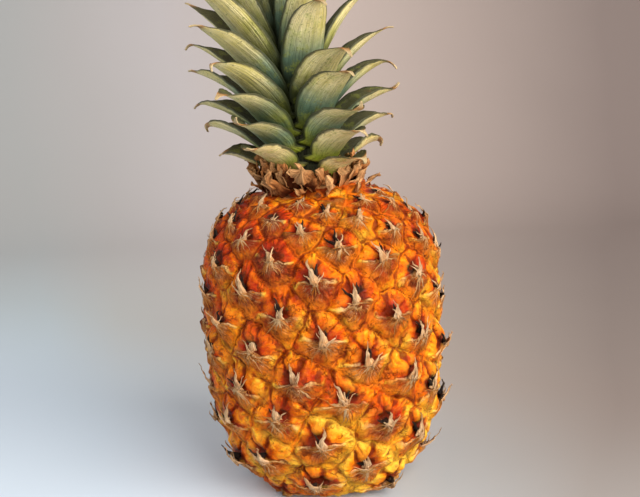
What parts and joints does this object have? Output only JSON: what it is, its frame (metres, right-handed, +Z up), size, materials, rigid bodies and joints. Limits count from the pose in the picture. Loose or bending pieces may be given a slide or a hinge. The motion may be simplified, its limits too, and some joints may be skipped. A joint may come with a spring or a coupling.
{
  "type": "pineapple",
  "caption": "Whole ripe pineapple standing on its cut base: a barrel of golden orange eyes with dry bract tips, and a leaning crown of stiff grey-green leaves.",
  "frame": {"origin": "centre of the cut base, on the surface that the fruit stands on", "axes": "+Z up along the fruit's axis to the crown; -Y is the side that the picture shows; the crown leans to -X"},
  "size_m": [0.1144, 0.1139, 0.2577],
  "materials": {
    "rind": "waxy, uneven orange rind",
    "stalk": "dry fibrous cut",
    "stem": "matte pale green",
    "dry_scale": "dry and papery",
    "leaf": "stiff, with a grey bloom"
  },
  "bodies": {
    "root": {"fruit": "rind", "cut_stalk": "stalk", "crown_stem": "stem", "crown_collar": "dry_scale", "leaf_01": "leaf", "leaf_02": "leaf", "leaf_03": "leaf", "leaf_04": "leaf", "leaf_05": "leaf", "leaf_06": "leaf", "leaf_07": "leaf", "leaf_08": "leaf", "leaf_09": "leaf", "leaf_10": "leaf", "leaf_11": "leaf", "leaf_12": "leaf", "leaf_13": "leaf", "leaf_14": "leaf", "leaf_15": "leaf", "leaf_16": "leaf", "leaf_17": "leaf", "leaf_18": "leaf", "leaf_19": "leaf", "leaf_20": "leaf", "leaf_21": "leaf", "leaf_22": "leaf", "leaf_23": "leaf", "leaf_24": "leaf", "leaf_25": "leaf", "leaf_26": "leaf", "leaf_27": "leaf", "leaf_28": "leaf", "leaf_29": "leaf", "leaf_30": "leaf", "leaf_31": "leaf", "leaf_32": "leaf", "leaf_33": "leaf", "leaf_34": "leaf", "leaf_35": "leaf", "leaf_36": "leaf", "leaf_37": "leaf", "leaf_38": "leaf", "leaf_39": "leaf", "leaf_40": "leaf", "leaf_41": "leaf", "leaf_42": "leaf"}
  },
  "joints": []
}
